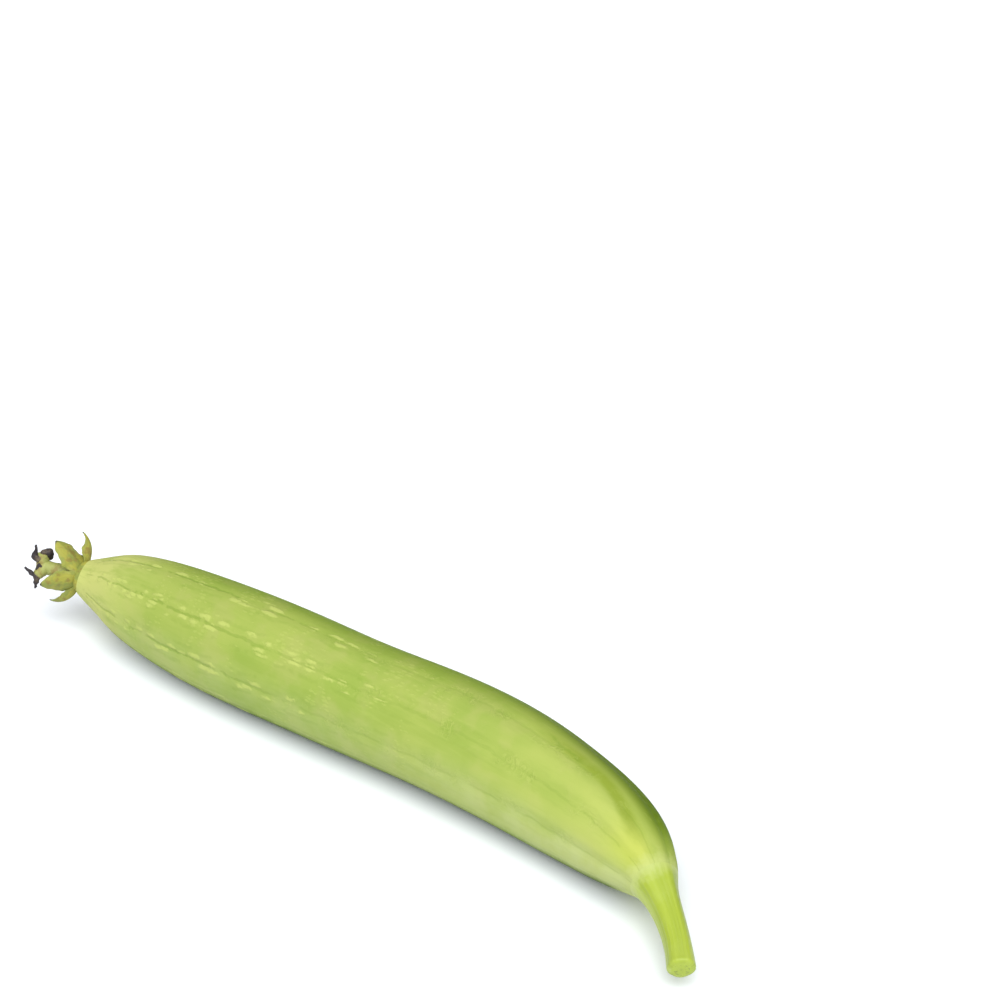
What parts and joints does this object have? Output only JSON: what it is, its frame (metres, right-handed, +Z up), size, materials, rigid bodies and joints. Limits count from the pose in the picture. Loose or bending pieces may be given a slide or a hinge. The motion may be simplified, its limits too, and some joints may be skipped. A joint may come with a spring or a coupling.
{
  "type": "sponge gourd",
  "caption": "Young smooth sponge gourd lying on its side: a long, gently bent green fruit with its cut stem, its calyx and its withered style.",
  "frame": {"origin": "on the resting surface, under the middle of the whole object's box", "axes": "+X from the blossom end to the cut stem, +Z up, the hollow side of the bend towards -Y"},
  "size_m": [0.3468, 0.0626, 0.0457],
  "materials": {
    "skin": "pale yellow-green plant skin, soft satin, with fine darker lines and pale flecks along it",
    "stem": "fresh bright green stalk, smooth and slightly glossy, paler at its collar and cut",
    "calyx": "olive sepals drying to brown in patches, matte",
    "style": "pale green column with black-brown shrivelled stigmas, matte"
  },
  "bodies": {
    "root": {"fruit": "skin", "stem": "stem", "calyx": "calyx", "style": "style"}
  },
  "joints": []
}
